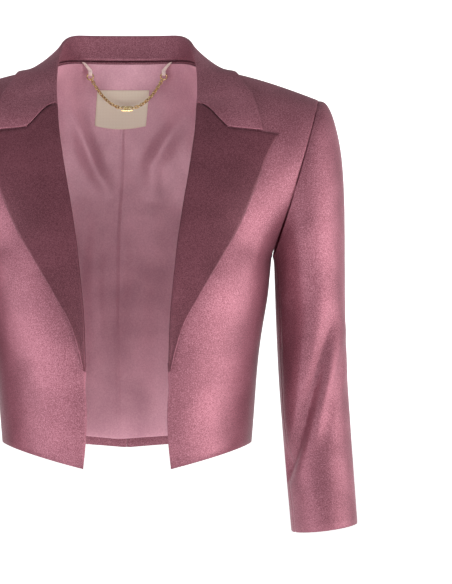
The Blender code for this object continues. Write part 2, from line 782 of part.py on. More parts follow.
def hanger_chain(material, group):
    """Every piece of the chain, on an empty at its swing axis."""
    hinge = bpy.data.objects.new("chain_swing_axis", None)
    hinge.location = Vector((0.0, SWING_AXIS_Y, SWING_AXIS_Z)) * MM
    group.objects.link(hinge)
    pitch = 2.0 * (LINK_HALF_LENGTH - LINK_WIRE) - LINK_CLEARANCE
    first = PLATE_LENGTH / 2.0 - PLATE_RIM - LINK_CLEARANCE - LINK_WIRE + LINK_HALF_LENGTH
    last = first + pitch * (LINKS_A_SIDE - 1)
    to_ring = RING_RADIUS - RING_WIRE - LINK_CLEARANCE - LINK_WIRE + LINK_HALF_LENGTH
    ring_z = SWING_AXIS_Z - RING_RADIUS
    curve = hanging_curve(RING_X, last + to_ring)
    lowest = ring_z - curve(last + to_ring)[0][2]
    for side in (LEFT, RIGHT):
        ring = torus(f"chain_ring_{SIDE_NAMES[side]}", RING_RADIUS, RING_WIRE, RING_SEGMENTS)
        place = Matrix.Translation(Vector((side * RING_X, SWING_AXIS_Y, ring_z)) * MM)
        placed(ring, place @ Matrix.Rotation(math.pi / 2.0, 4, "X"), material, group, hinge)
        for number in range(LINKS_A_SIDE):
            point, tilt = curve(first + pitch * number)
            name = f"chain_link_{SIDE_NAMES[side]}_{number + 1:02d}"
            link = torus(name, LINK_HALF_WIDTH, LINK_WIRE, LINK_SEGMENTS)
            for vertex in link.data.vertices:
                stretch = LINK_HALF_LENGTH - LINK_HALF_WIDTH
                vertex.co.x += math.copysign(stretch, vertex.co.x) * MM if abs(vertex.co.x) > SAME_PLACE else 0.0
            twist = 90.0 * (number % 2)
            twist += LINK_TWIST * math.sin(math.pi * (number + 1) / (LINKS_A_SIDE + 1))
            middle = (side * point[0], SWING_AXIS_Y, lowest + point[2])
            place = along_direction(middle, side * tilt, math.radians(side * twist))
            placed(link, place, material, group, hinge)
    plate = plate_piece()
    middle = Matrix.Translation(Vector((0.0, SWING_AXIS_Y, lowest)) * MM)
    placed(plate, middle @ Matrix.Rotation(math.pi / 2.0, 4, "X"), material, group, hinge)


def round_spline(curve, middle_x, radius, points):
    spline = curve.splines.new("POLY")
    spline.points.add(points - 1)
    for index, point in enumerate(spline.points):
        turn = 2.0 * math.pi * index / points
        x = middle_x + radius * math.cos(turn)
        point.co = (x * MM, radius * math.sin(turn) * MM, 0.0, 1.0)
    spline.use_cyclic_u = True


def plate_piece():
    """A flat bar with round ends and a hole near each end, in its own X and Y."""
    curve = bpy.data.curves.new("plate_outline", "CURVE")
    curve.dimensions = "2D"
    curve.fill_mode = "BOTH"
    curve.extrude = PLATE_THICKNESS / 2.0 * MM
    outline = curve.splines.new("POLY")
    radius = PLATE_HEIGHT / 2.0
    straight = PLATE_LENGTH / 2.0 - radius
    turns = [math.pi * step / PLATE_END_STEPS - math.pi / 2.0 for step in range(PLATE_END_STEPS + 1)]
    points = [(straight + radius * math.cos(turn), radius * math.sin(turn)) for turn in turns]
    points += [(-x, -y) for x, y in points]
    outline.points.add(len(points) - 1)
    for point, (x, y) in zip(outline.points, points):
        point.co = (x * MM, y * MM, 0.0, 1.0)
    outline.use_cyclic_u = True
    hole = PLATE_LENGTH / 2.0 - PLATE_RIM - PLATE_HOLE_RADIUS
    round_spline(curve, hole, PLATE_HOLE_RADIUS, PLATE_HOLE_SIDES)
    round_spline(curve, -hole, PLATE_HOLE_RADIUS, PLATE_HOLE_SIDES)
    drawn = bpy.data.objects.new("plate_drawn", curve)
    bpy.context.scene.collection.objects.link(drawn)
    graph = bpy.context.evaluated_depsgraph_get()
    mesh = bpy.data.meshes.new_from_object(drawn.evaluated_get(graph))
    build = bmesh.new()
    build.from_mesh(mesh)
    bmesh.ops.remove_doubles(build, verts=build.verts[:], dist=SAME_PLACE)
    build.to_mesh(mesh)
    build.free()
    bpy.data.objects.remove(drawn)
    mesh.materials.clear()
    plate = bpy.data.objects.new("chain_plate", mesh)
    bpy.context.scene.collection.objects.link(plate)
    return plate


def ribbon_rows():
    """The outer face of the left ribbon, folded round the ring: down behind it, round its wire and up in front."""
    height = RIBBON_ROOT_Z - SWING_AXIS_Z
    outer = RIBBON_BORE + RIBBON_THICKNESS
    leg = RIBBON_THICKNESS + LAYER_GAP / 2.0
    turns = np.radians(np.linspace(RIBBON_LOOP_END, -180.0 - RIBBON_LOOP_END, RIBBON_SIDES + 1))
    path = [(leg, height), (leg, RIBBON_LEG_START)]
    path += [(outer * math.cos(turn), outer * math.sin(turn)) for turn in turns]
    path += [(-leg, RIBBON_LEG_START), (-leg, height - RIBBON_END_BELOW_ROOT)]
    rows = []
    for y, up in path:
        slanted = max(up - RIBBON_LEG_START, 0.0) / (height - RIBBON_LEG_START)
        middle = RING_X + (RIBBON_ROOT_X - RING_X) * slanted
        ends = (middle - RIBBON_WIDTH / 2.0, middle + RIBBON_WIDTH / 2.0)
        rows.append([(x, SWING_AXIS_Y + y, SWING_AXIS_Z + up) for x in ends])
    return np.array(rows)


def main():
    for found in list(bpy.data.objects):
        bpy.data.objects.remove(found, do_unlink=True)
    group = collection_named("spencer_jacket")
    satin = finish_of("duchess satin", (0.185, 0.058, 0.078), 0.42)
    lining = finish_of("satin lining", (0.45, 0.23, 0.30), 0.5)
    cotton = finish_of("label cloth", (0.68, 0.57, 0.46), 0.85)
    ribbon = finish_of("ribbon", (0.72, 0.45, 0.45), 0.5)
    gold = finish_of("gilt brass", (0.83, 0.61, 0.33), 0.25, 1.0)

    front = front_rows()
    back = back_rows()
    body = Body((front, back))
    lapel = lapel_rows(body)
    collar_half = collar_half_rows(body)
    lining_face = lining_rows(back)
    front_piece = drawn_in(front, last_column=SIDE_SEAM / 2.0, first_row=SHOULDER_SEAM / 2.0)
    back_piece = drawn_in(back, SIDE_SEAM / 2.0, SIDE_SEAM / 2.0, LAYER_GAP)
    back_piece[0, BACK_NECK_COLUMNS:] = drawn_in(back, first_row=SHOULDER_SEAM / 2.0)[0, BACK_NECK_COLUMNS:]
    top = sleeve_rows(BACK_SLEEVE_SEAM_AT, FRONT_SLEEVE_SEAM_AT, TOP_SLEEVE_COLUMNS)
    under = sleeve_rows(FRONT_SLEEVE_SEAM_AT, 360.0 + BACK_SLEEVE_SEAM_AT, UNDER_SLEEVE_COLUMNS)
    top = drawn_in(top, SLEEVE_SEAM / 2.0, SLEEVE_SEAM / 2.0)
    under = drawn_in(under, SLEEVE_SEAM / 2.0, SLEEVE_SEAM / 2.0)
    for side in (LEFT, RIGHT):
        name = SIDE_NAMES[side]
        cloth(f"front_{name}", mirrored(front_piece[:, ::-1], side), CLOTH_WALL, satin, group)
        cloth(f"back_{name}", mirrored(back_piece, side), CLOTH_WALL, satin, group)
        cloth(f"sleeve_top_{name}", mirrored(top, side), CLOTH_WALL, satin, group)
        cloth(f"sleeve_under_{name}", mirrored(under, side), CLOTH_WALL, satin, group)
        cloth(f"lapel_{name}", mirrored(lapel[:, ::-1], side), FOLDED_WALL, satin, group)
        cloth(f"hanger_tab_{name}", mirrored(ribbon_rows(), side), RIBBON_THICKNESS, ribbon, group)
    other_half = (collar_half * np.array([-1.0, 1.0, 1.0]))[:0:-1]
    collar = np.concatenate([other_half, collar_half])
    cloth("collar", collar[:, ::-1], FOLDED_WALL, satin, group)
    cloth("back_lining", lining_face[:, ::-1], LINING_WALL, lining, group)
    cloth("label", label_rows(tree_of([lining_face]))[:, ::-1], LABEL_WALL, cotton, group)
    hanger_chain(gold, group)


main()
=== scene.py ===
"""Spencer jacket in heavy plum satin, open at the front and filled out as when worn.

Each piece of cloth starts as a copy of its CAD solid, is smoothed into a soft shell, gets its creases pressed
in and is sewn close to its neighbours. Tables, and sizes that are multiplied by MM where they are used, are
in millimetres. Everything else is in metres. Left and right are the wearer's, and the wearer's left is at +X.
"""

import math

import bpy
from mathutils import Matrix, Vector
from mathutils.kdtree import KDTree


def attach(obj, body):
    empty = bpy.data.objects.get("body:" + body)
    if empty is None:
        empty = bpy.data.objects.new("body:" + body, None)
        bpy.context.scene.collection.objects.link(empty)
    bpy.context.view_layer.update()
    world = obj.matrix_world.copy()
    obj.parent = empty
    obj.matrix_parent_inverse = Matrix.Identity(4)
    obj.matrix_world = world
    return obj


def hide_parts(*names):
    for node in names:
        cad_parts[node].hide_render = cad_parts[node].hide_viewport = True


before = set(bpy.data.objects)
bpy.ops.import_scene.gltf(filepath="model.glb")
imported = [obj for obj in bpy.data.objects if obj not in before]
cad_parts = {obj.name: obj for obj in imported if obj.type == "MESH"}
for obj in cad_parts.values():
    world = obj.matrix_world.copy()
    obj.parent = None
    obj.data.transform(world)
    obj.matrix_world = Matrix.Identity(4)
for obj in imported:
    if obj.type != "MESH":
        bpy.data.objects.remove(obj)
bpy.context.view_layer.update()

MM = 0.001
SIDES = {"left": 1.0, "right": -1.0}

# How much finer each kind of piece is made, in halvings of its CAD faces
PANEL_HALVINGS = 2
LINING_HALVINGS = 3
RIBBON_HALVINGS = 1
CHAIN_HALVINGS = 2

# Points this close are merged, and two triangles become one face where they are this flat and this square
SAME_PLACE = 0.01
JOIN_UNDER = math.radians(60.0)
SHAPE_UNDER = math.radians(80.0)

# Cut edges turn more than SHARP_EDGE, and stay as sharp as EDGE_CREASE says when the cloth is made finer
SHARP_EDGE = math.radians(62.0)
EDGE_CREASE = 0.82
SMOOTH_UNDER = math.radians(50.0)

# The middle line of each sleeve and of the body, which say which way is out where a crease is pressed in. The
# body is wider than it is deep, so its outside faces less to the side than a round one's would.
SLEEVE_TOP = Vector((0.176, 0.0, -0.122))
SLEEVE_END = Vector((0.204, -0.035, -0.483))
BODY_MIDDLE_Y = -0.005
BODY_SIDE_SHARE = 0.45

# A crease is a soft trough. It is gone FLANKS widths away, and a higher END_FADE makes its ends die away
# sooner. Creases are a little shallower on the wearer's right, so that the sides differ.
FLANKS = 3.0
END_FADE = 0.7
RIGHT_SHARE = 0.8

# How far each of two edges goes towards the other where they are sewn: a half would close the seam
SEWN_SHARE = 0.46


# Making and shaping pieces


def deselect_all():
    if bpy.context.object and bpy.context.object.mode != "OBJECT":
        bpy.ops.object.mode_set(mode="OBJECT")
    bpy.ops.object.select_all(action="DESELECT")


def make_active(piece):
    deselect_all()
    piece.select_set(True)
    bpy.context.view_layer.objects.active = piece


def copy_of(node):
    """A copy of a CAD node's mesh, merged and turned from triangles into four-sided faces."""
    piece = bpy.data.objects.new(f"{node}_cloth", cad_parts[node].data.copy())
    bpy.context.scene.collection.objects.link(piece)
    piece.data.materials.clear()
    make_active(piece)
    bpy.ops.object.mode_set(mode="EDIT")
    bpy.ops.mesh.select_all(action="SELECT")
    bpy.ops.mesh.remove_doubles(threshold=SAME_PLACE * MM)
    bpy.ops.mesh.tris_convert_to_quads(face_threshold=JOIN_UNDER, shape_threshold=SHAPE_UNDER)
    bpy.ops.object.mode_set(mode="OBJECT")
    return piece


def keep_edges(piece):
    """Keeps the cut edges of the cloth from being rounded away when it is made finer."""
    make_active(piece)
    bpy.ops.object.mode_set(mode="EDIT")
    bpy.ops.mesh.select_mode(type="EDGE")
    bpy.ops.mesh.select_all(action="DESELECT")
    bpy.ops.mesh.edges_select_sharp(sharpness=SHARP_EDGE)
    bpy.ops.transform.edge_crease(value=EDGE_CREASE)
    bpy.ops.object.mode_set(mode="OBJECT")


def apply(piece, kind, **settings):
    """Adds a modifier of one kind with its settings, and applies it."""
    make_active(piece)
    modifier = piece.modifiers.new(kind.title(), kind)
    for name, value in settings.items():
        setattr(modifier, name, value)
    bpy.ops.object.modifier_apply(modifier=modifier.name)


def refine(piece, halvings):
    """Makes a piece finer and rounder, and smooth to look at but for its edges."""
    apply(piece, "SUBSURF", levels=halvings, render_levels=halvings)
    make_active(piece)
    bpy.ops.object.shade_smooth_by_angle(angle=SMOOTH_UNDER)


def sleeve_middle(point):
    """The point of the sleeve's middle line that is nearest to a point of the sleeve."""
    side = math.copysign(1.0, point.x)
    top = Vector((SLEEVE_TOP.x * side, SLEEVE_TOP.y, SLEEVE_TOP.z))
    end = Vector((SLEEVE_END.x * side, SLEEVE_END.y, SLEEVE_END.z))
    line = end - top
    part = max(0.0, min(1.0, (point - top).dot(line) / line.length_squared))
    return top + line * part


def out_of_sleeve(point):
    return (point - sleeve_middle(point)).normalized()


def out_of_body(point):
    return Vector((point.x * BODY_SIDE_SHARE, point.y - BODY_MIDDLE_Y, 0.0)).normalized()


def on_front_of_sleeve(point):
    return point.y < sleeve_middle(point).y


def on_back_of_sleeve(point):
    return not on_front_of_sleeve(point)


def everywhere(point):
    return True


def crease_line(points, width, depth, side):
    """A crease in metres: the steps of its line, its width and its depth.

    A step is where it starts, how it runs, and the shares of the whole length that lie before it and on it.
    """
    line = [Vector((x * side * MM, z * MM)) for x, z in points]
    lengths = [(after - before).length for before, after in zip(line, line[1:])]
    total = sum(lengths)
    steps = []
    travelled = 0.0
    for before, after, length in zip(line, line[1:], lengths):
        steps.append((before, after - before, travelled / total, length / total))
        travelled += length
    return steps, width * MM, depth * MM


def crease_depth(point, crease):
    """How deep one crease is at a point. It is deepest midway along and dies away at both ends."""
    steps, width, depth = crease
    place = Vector((point.x, point.z))
    nearest, part = None, 0.0
    for start, line, before, share in steps:
        along = max(0.0, min(1.0, (place - start).dot(line) / line.length_squared))
        away = (place - start - line * along).length
        if nearest is None or away < nearest:
            nearest, part = away, before + share * along
    if nearest > FLANKS * width:
        return 0.0
    along_line = max(0.0, math.sin(math.pi * part)) ** END_FADE
    return depth * along_line * math.exp(-((nearest / width) ** 2))


def press_creases(piece, creases, out_of, side="left", on_face=everywhere):
    """Presses the rows of a crease table into a piece. They are mirrored for the wearer's right."""
    share = RIGHT_SHARE if side == "right" else 1.0
    lines = [crease_line(points, width, depth * share, SIDES[side]) for points, width, depth in creases]
    for vertex in piece.data.vertices:
        if on_face(vertex.co):
            move = sum(crease_depth(vertex.co, line) for line in lines)
            vertex.co -= out_of(vertex.co) * move


def keep_corners(piece, corners):
    """Keeps the corners of the cut sharp when the piece is made finer."""
    make_active(piece)
    bpy.ops.object.mode_set(mode="EDIT")
    bpy.ops.mesh.select_mode(type="VERT")
    bpy.ops.mesh.select_all(action="DESELECT")
    bpy.ops.object.mode_set(mode="OBJECT")
    for x, z, reach in corners:
        for vertex in piece.data.vertices:
            if math.hypot(abs(vertex.co.x) - x * MM, vertex.co.z - z * MM) < reach * MM:
                vertex.select = True
    bpy.ops.object.mode_set(mode="EDIT")
    bpy.ops.transform.vert_crease(value=1.0)
    bpy.ops.object.mode_set(mode="OBJECT")


def sew(first, second, reach_mm):
    """Draws the edges of two pieces together along the seam between them, to a hair's width."""
    near = {}
    for piece in (first, second):
        tree = KDTree(len(piece.data.vertices))
        for index, vertex in enumerate(piece.data.vertices):
            tree.insert(vertex.co, index)
        tree.balance()
        near[piece.name] = tree
    moves = []
    for piece, other in ((first, second), (second, first)):
        for vertex in piece.data.vertices:
            place, _, far = near[other.name].find(vertex.co)
            if far < reach_mm * MM:
                moves.append((vertex, vertex.co.lerp(place, SEWN_SHARE)))
    for vertex, place in moves:
        vertex.co = place


# Materials


def linear(colour):
    """An sRGB hex colour as linear red, green, blue and alpha."""
    parts = [int(colour[i : i + 2], 16) / 255.0 for i in (1, 3, 5)]
    return tuple(p / 12.92 if p <= 0.04045 else ((p + 0.055) / 1.055) ** 2.4 for p in parts) + (1.0,)


def add_node(tree, kind, settings=None, links=None):
    """Adds a node to a material, sets its sockets and properties, and links its inputs."""
    node = tree.nodes.new(kind)
    for name, value in (settings or {}).items():
        if name in node.inputs:
            node.inputs[name].default_value = value
        else:
            setattr(node, name, value)
    for name, source in (links or {}).items():
        tree.links.new(source, node.inputs[name])
    return node


def new_material(name):
    """A material, its tree and its shader, and the place on the object that its patterns follow."""
    material = bpy.data.materials.new(name)
    material.use_nodes = True
    tree = material.node_tree
    place = add_node(tree, "ShaderNodeTexCoord").outputs["Object"]
    return material, tree, tree.nodes["Principled BSDF"], place


def per_mm(size_mm):
    """The texture scale at which one feature is this many millimetres across."""
    return 1.0 / (size_mm * MM)


def ramp(tree, source, stops):
    """Turns a value into colours. The stops are places from 0 to 1, each with its sRGB colour."""
    node = add_node(tree, "ShaderNodeValToRGB", links={"Fac": source})
    band = node.color_ramp
    while len(band.elements) < len(stops):
        band.elements.new(0.5)
    for element, (place, colour) in zip(band.elements, stops):
        element.position = place
        element.color = linear(colour)
    return node.outputs["Color"]


# Satin. Its colour drifts a little over DRIFT_MM, and SLUB_SQUEEZE draws its slubs out along the threads.
DRIFT_MM = 46.0
DRIFT_TONES = ((0.36, "#E4DEE0"), (0.64, "#FFFFFF"))
SLUB_SHARE = 0.8
SLUB_SQUEEZE = 0.28
SLUB_HEIGHT = 0.12
GRAIN_PLACES = (0.34, 0.5, 0.68)
SMOOTHER_BY = 0.05
ROUGHER_BY = 0.07
FIBRE_IOR = 1.53

# A Mix node has several sockets of each name, so those that mix colours go by their numbers
MIX_SHARE = 0
MIX_FIRST = 6
MIX_SECOND = 7
MIX_COLOUR = 2


def woven_satin(name, tones, grain_mm, sheen, roughness, metal, bump):
    """Long floating threads make satin glow where it faces the light and go deep where it turns away."""
    material, tree, shader, place = new_material(name)
    noise = "ShaderNodeTexNoise"
    fine = {"Scale": per_mm(grain_mm), "Detail": 3.0, "Roughness": 0.7}
    grain = add_node(tree, noise, fine, {"Vector": place}).outputs["Fac"]
    drift = add_node(tree, noise, {"Scale": per_mm(DRIFT_MM), "Detail": 1.5}, {"Vector": place})
    stretch = add_node(tree, "ShaderNodeMapping", {"Scale": (1.0, 1.0, SLUB_SQUEEZE)}, {"Vector": place})
    drawn_out = {"Vector": stretch.outputs["Vector"]}
    slub = add_node(tree, noise, {"Scale": per_mm(grain_mm * SLUB_SHARE), "Detail": 2.0}, drawn_out)

    shade = add_node(tree, "ShaderNodeMix", {"data_type": "RGBA", "blend_type": "MULTIPLY"})
    shade.inputs[MIX_SHARE].default_value = 1.0
    tree.links.new(ramp(tree, grain, tuple(zip(GRAIN_PLACES, tones))), shade.inputs[MIX_FIRST])
    tree.links.new(ramp(tree, drift.outputs["Fac"], DRIFT_TONES), shade.inputs[MIX_SECOND])
    tree.links.new(shade.outputs[MIX_COLOUR], shader.inputs["Base Color"])

    spread = {"To Min": roughness - SMOOTHER_BY, "To Max": roughness + ROUGHER_BY}
    rough = add_node(tree, "ShaderNodeMapRange", spread, {"Value": grain})
    tree.links.new(rough.outputs["Result"], shader.inputs["Roughness"])
    height = {"Strength": bump, "Distance": SLUB_HEIGHT * MM}
    raised = add_node(tree, "ShaderNodeBump", height, {"Height": slub.outputs["Fac"]})
    tree.links.new(raised.outputs["Normal"], shader.inputs["Normal"])
    shader.inputs["Metallic"].default_value = metal
    shader.inputs["IOR"].default_value = FIBRE_IOR
    shader.inputs["Sheen Weight"].default_value = sheen
    shader.inputs["Sheen Roughness"].default_value = 0.4
    shader.inputs["Sheen Tint"].default_value = linear(tones[-1])
    return material


# Woven tape: how far a thread stands up, and how its width becomes the scale of a wave pattern
THREAD_HEIGHT = 0.1
WAVE_REPEAT = 6.28


def woven_tape(name, base, thread, thread_mm):
    """Plainly woven tape: matt, with threads that cross."""
    material, tree, shader, place = new_material(name)
    cross = add_node(tree, "ShaderNodeMath", {"operation": "MAXIMUM"})
    for socket, direction in enumerate("XZ"):
        settings = {"Scale": per_mm(thread_mm) / WAVE_REPEAT, "bands_direction": direction}
        threads = add_node(tree, "ShaderNodeTexWave", settings, {"Vector": place})
        tree.links.new(threads.outputs["Fac"], cross.inputs[socket])
    cross = cross.outputs["Value"]
    tree.links.new(ramp(tree, cross, ((0.0, thread), (0.8, base))), shader.inputs["Base Color"])
    height = {"Strength": 0.3, "Distance": THREAD_HEIGHT * MM}
    raised = add_node(tree, "ShaderNodeBump", height, {"Height": cross})
    tree.links.new(raised.outputs["Normal"], shader.inputs["Normal"])
    shader.inputs["Roughness"].default_value = 0.86
    return material


# Gilt: its worn patches, which are less pale
WEAR_MM = 1.6
WEAR_TONES = ((0.35, "#CFA768"), (0.65, "#F6E0B4"))


def gilt_brass(name):
    """Brass with a thin gilt, polished bright, with slight wear that dulls it in patches."""
    material, tree, shader, place = new_material(name)
    wear = add_node(tree, "ShaderNodeTexNoise", {"Scale": per_mm(WEAR_MM), "Detail": 3.0}, {"Vector": place})
    tree.links.new(ramp(tree, wear.outputs["Fac"], WEAR_TONES), shader.inputs["Base Color"])
    polish = {"To Min": 0.14, "To Max": 0.34}
    rough = add_node(tree, "ShaderNodeMapRange", polish, {"Value": wear.outputs["Fac"]})
    tree.links.new(rough.outputs["Result"], shader.inputs["Roughness"])
    shader.inputs["Metallic"].default_value = 1.0
    return material


def photo_paper(name, colour):
    """Matt white studio paper, with no marks on it, lit until it is plain white."""
    material, _, shader, _ = new_material(name)
    shader.inputs["Base Color"].default_value = linear(colour)
    shader.inputs["Roughness"].default_value = 0.95
    shader.inputs["Emission Color"].default_value = linear(colour)
    shader.inputs["Emission Strength"].default_value = 0.7
    return material


# Heavy satin: its floating threads mirror the light softly, and a fine grain sparkles in it
SATIN = woven_satin(
    "duchess satin",
    ("#7A434F", "#9A5D6C", "#C18796"),
    grain_mm=0.95,
    sheen=0.10,
    roughness=0.50,
    metal=0.48,
    bump=0.45,
)
# The lapels' satin is a darker copy: painted shade for where they tilt up, away from the low light
SATIN_PAINTED_SHADE = woven_satin(
    "duchess satin with painted shade",
    ("#582A35", "#6F3A47", "#8A5461"),
    grain_mm=0.95,
    sheen=0.08,
    roughness=0.50,
    metal=0.48,
    bump=0.45,
)
# Lining: thin and smooth, so it glows evenly and shows almost no grain
LINING = woven_satin(
    "lining satin",
    ("#DFA0B2", "#E7AABB", "#F0B8C7"),
    grain_mm=1.6,
    sheen=0.1,
    roughness=0.42,
    metal=0.12,
    bump=0.1,
)
# Label and ribbon: matt cream and pale pink beside the shining lining
COTTON = woven_tape("woven cotton", "#FFF0DC", "#F6E2CB", thread_mm=0.8)
RIBBON = woven_tape("grosgrain ribbon", "#FFE3DC", "#EAC6C0", thread_mm=0.9)
# Chain: small bright glints
GILT = gilt_brass("polished gilt brass")
PAPER = photo_paper("studio paper", "#FAFAFA")


# Crease tables. The columns are the points of the line, as x and z, then the width and the depth. A depth
# below 0 is a ridge. Only the lining's are placed on both sides, and the others are on the wearer's left.

SLEEVE_FRONT_CREASES = (
    (((216, -252), (204, -292), (191, -335), (178, -385), (166, -424), (155, -455)), 4.8, 8.4),
    (((198, -236), (184, -290), (172, -344), (164, -388)), 10.0, -2.2),
    (((186, -190), (184, -232), (178, -280)), 20.0, 2.6),
    (((227, -268), (214, -303), (201, -347), (188, -393), (177, -431), (168, -457)), 6.4, -4.4),
    (((228, -296), (224, -322), (216, -352), (210, -376)), 4.5, -1.8),
    (((214, -338), (206, -368), (200, -400)), 7.0, 1.3),
    (((170, -190), (168, -250), (164, -310)), 8.0, 2.0),
    (((190, -110), (196, -170), (206, -230)), 13.0, 1.4),
)
SLEEVE_BACK_CREASES = (
    (((170, -170), (186, -230), (204, -290)), 10.0, 2.4),
    (((168, -300), (190, -330), (214, -352)), 8.0, 2.2),
    (((172, -336), (196, -368), (220, -392)), 9.0, -1.6),
    (((176, -380), (200, -410), (222, -424)), 9.0, 1.8),
)
FRONT_CREASES = (
    (((172, -150), (150, -200), (134, -242)), 9.0, 2.0),
    (((166, -140), (140, -190), (118, -226)), 9.0, -1.4),
    (((122, -262), (112, -320), (106, -396)), 14.0, 0.5),
    (((78, -322), (84, -364), (90, -408)), 13.0, -1.0),
)
BACK_CREASES = (
    (((160, -140), (134, -180), (108, -228)), 11.0, 2.2),
    (((62, -150), (56, -250), (52, -370)), 14.0, 1.8),
    (((112, -230), (108, -310), (100, -390)), 12.0, -1.6),
    (((24, -60), (46, -104), (70, -150)), 13.0, 1.5),
)
# The lining's drape stands in towards the wearer, so its ridges are pressed in, away from the outside
LINING_CREASES = (
    (((-78, -14), (-60, -48), (-44, -84), (-30, -112), (-9, -136)), 9.5, 4.4),
    (((-58, -18), (-42, -44), (-30, -80), (-12, -112)), 8.0, -0.6),
    (((80, -26), (62, -50), (44, -80), (30, -104), (32, -142)), 9.0, 3.6),
    (((36, -22), (58, -10), (80, 0)), 5.0, 2.0),
    (((34, -62), (20, -90), (14, -112)), 8.0, -0.6),
    (((12, -118), (16, -200), (12, -300)), 7.0, 1.6),
    (((-40, -140), (-46, -220), (-50, -350)), 11.0, 2.4),
    (((-22, -170), (-24, -240), (-20, -300)), 6.0, 1.5),
    (((36, -150), (38, -240), (34, -380)), 10.0, 1.8),
)

# The seam down the middle of the lining, as x and z. Cloth up to SEAM_DRAWS away follows it, and the column
# of points that lies on it sinks.
LINING_SEAM = (
    (-2.7, 8.0),
    (-5.4, -66.0),
    (-5.6, -92.0),
    (-6.8, -126.0),
    (-10.4, -174.0),
    (-12.0, -260.0),
    (-9.0, -400.0),
)
SEAM_DRAWS = 60.0
SEAM_DEPTH = 0.7
SEAM_COLUMN = 0.5

# The pleat beside the seam, on the wearer's left. At its top it has PLEAT_STARTS of its rise behind it.
PLEAT_TOP = -68.0
PLEAT_END = -330.0
PLEAT_WIDTH = 16.0
PLEAT_HEIGHT = 2.0
PLEAT_STARTS = 0.12
PLEAT_FADE = 0.6

# Corners that stay sharp. The columns are x, z, and how near a point has to be.
SHARP_CORNERS = {
    "front": ((44.2, -419.0, 4.0), (130.5, -397.0, 4.0)),
    "lapel": ((155.0, -79.3, 5.0), (101.3, -74.8, 4.0)),
    "collar": ((138.5, -77.6, 5.0), (101.3, -74.8, 4.0)),
    "back": ((130.5, -397.0, 4.0),),
    "label": ((32.0, -24.0, 3.0), (24.0, -24.0, 3.0), (20.4, -62.0, 3.0), (34.6, -62.0, 3.0)),
}

# Where the lapel ends, the front's own edge comes out from under it and carries on its line. Between these
# two heights it lay up to EDGE_SETBACK further out, and the cloth up to EDGE_DRAWS away follows it.
EDGE_COMES_OUT = (-311.0, -340.0)
EDGE_LINE_X = 41.2
EDGE_SETBACK = 5.0
EDGE_DRAWS = 9.0

# Between these two heights the lapel's end narrows by LAPEL_TAPER, and it gets TAPER_LENGTH longer
LAPEL_TAPERS = (-286.0, -314.0)
LAPEL_TAPER = 0.6
TAPER_LENGTH = 7.0

# The lapel's painted highlight goes on its faces, low down, that look outwards but not far backwards
PAINTED_HIGHLIGHT_BELOW = -150.0
EDGE_FACES_OUT = 0.5
EDGE_FACES_BACK = 0.6


# Cloth pieces


def cloth_piece(node, material, halvings=PANEL_HALVINGS):
    """A piece of cloth on the jacket, made finer out of its CAD node."""
    piece = copy_of(node)
    keep_edges(piece)
    keep_corners(piece, SHARP_CORNERS.get(node.split("_")[0], ()))
    refine(piece, halvings)
    piece.data.materials.append(material)
    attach(piece, "jacket")
    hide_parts(node)
    return piece


def seam_x(z):
    """Where the middle seam of the lining is at this height, in metres."""
    for (upper_x, upper_z), (lower_x, lower_z) in zip(LINING_SEAM, LINING_SEAM[1:]):
        if z > lower_z * MM:
            part = (z - upper_z * MM) / ((lower_z - upper_z) * MM)
            return (upper_x + (lower_x - upper_x) * max(part, 0.0)) * MM
    return LINING_SEAM[-1][0] * MM


def sew_lining_seam(lining):
    """Draws the lining's middle column onto its seam line, sinks it there and stands a pleat up beside it."""
    for vertex in lining.data.vertices:
        off = vertex.co.x
        line = seam_x(vertex.co.z)
        vertex.co.x += line * max(0.0, 1.0 - abs(off) / (SEAM_DRAWS * MM))
        if abs(off) < SEAM_COLUMN * MM:
            vertex.co.y += SEAM_DEPTH * MM
        elif off > 0.0 and PLEAT_END * MM < vertex.co.z < PLEAT_TOP * MM:
            part = (vertex.co.z - PLEAT_TOP * MM) / ((PLEAT_END - PLEAT_TOP) * MM)
            fall = max(0.0, 1.0 - off / (PLEAT_WIDTH * MM)) ** 2
            rise = max(0.0, math.sin(math.pi * min(1.0, part + PLEAT_STARTS))) ** PLEAT_FADE
            vertex.co.y -= PLEAT_HEIGHT * MM * fall * rise


def carry_edge_on(front):
    """Below the lapel the front's edge carries on the line that the lapel turned over on."""
    top, end = (z * MM for z in EDGE_COMES_OUT)
    for vertex in front.data.vertices:
        if end < vertex.co.z < top:
            edge = (EDGE_LINE_X + EDGE_SETBACK * (vertex.co.z - end) / (top - end)) * MM
            off = abs(vertex.co.x) - edge
            inset = (edge - EDGE_LINE_X * MM) * max(0.0, 1.0 - off / (EDGE_DRAWS * MM))
            vertex.co.x -= math.copysign(min(inset, edge - EDGE_LINE_X * MM), vertex.co.x)


def taper_end(lapel):
    """Narrows the end of the lapel, so that it runs out on the front's edge."""
    top, end = (z * MM for z in LAPEL_TAPERS)
    for vertex in lapel.data.vertices:
        part = max(0.0, min(1.0, (vertex.co.z - top) / (end - top)))
        off = abs(vertex.co.x) - EDGE_LINE_X * MM
        vertex.co.x -= math.copysign(off * LAPEL_TAPER * part * part, vertex.co.x)
        vertex.co.z -= TAPER_LENGTH * MM * part * part


def paint_edge_highlight(lapel, material):
    """Paints a highlight along the lapel's lower outer edge: those faces take the brighter satin, not the
    darkened one.
    """
    lapel.data.materials.append(material)
    side = math.copysign(1.0, lapel.data.vertices[0].co.x)
    for face in lapel.data.polygons:
        outwards = face.normal.x * side > EDGE_FACES_OUT and face.normal.y < EDGE_FACES_BACK
        if outwards and face.center.z < PAINTED_HIGHLIGHT_BELOW * MM:
            face.material_index = 1


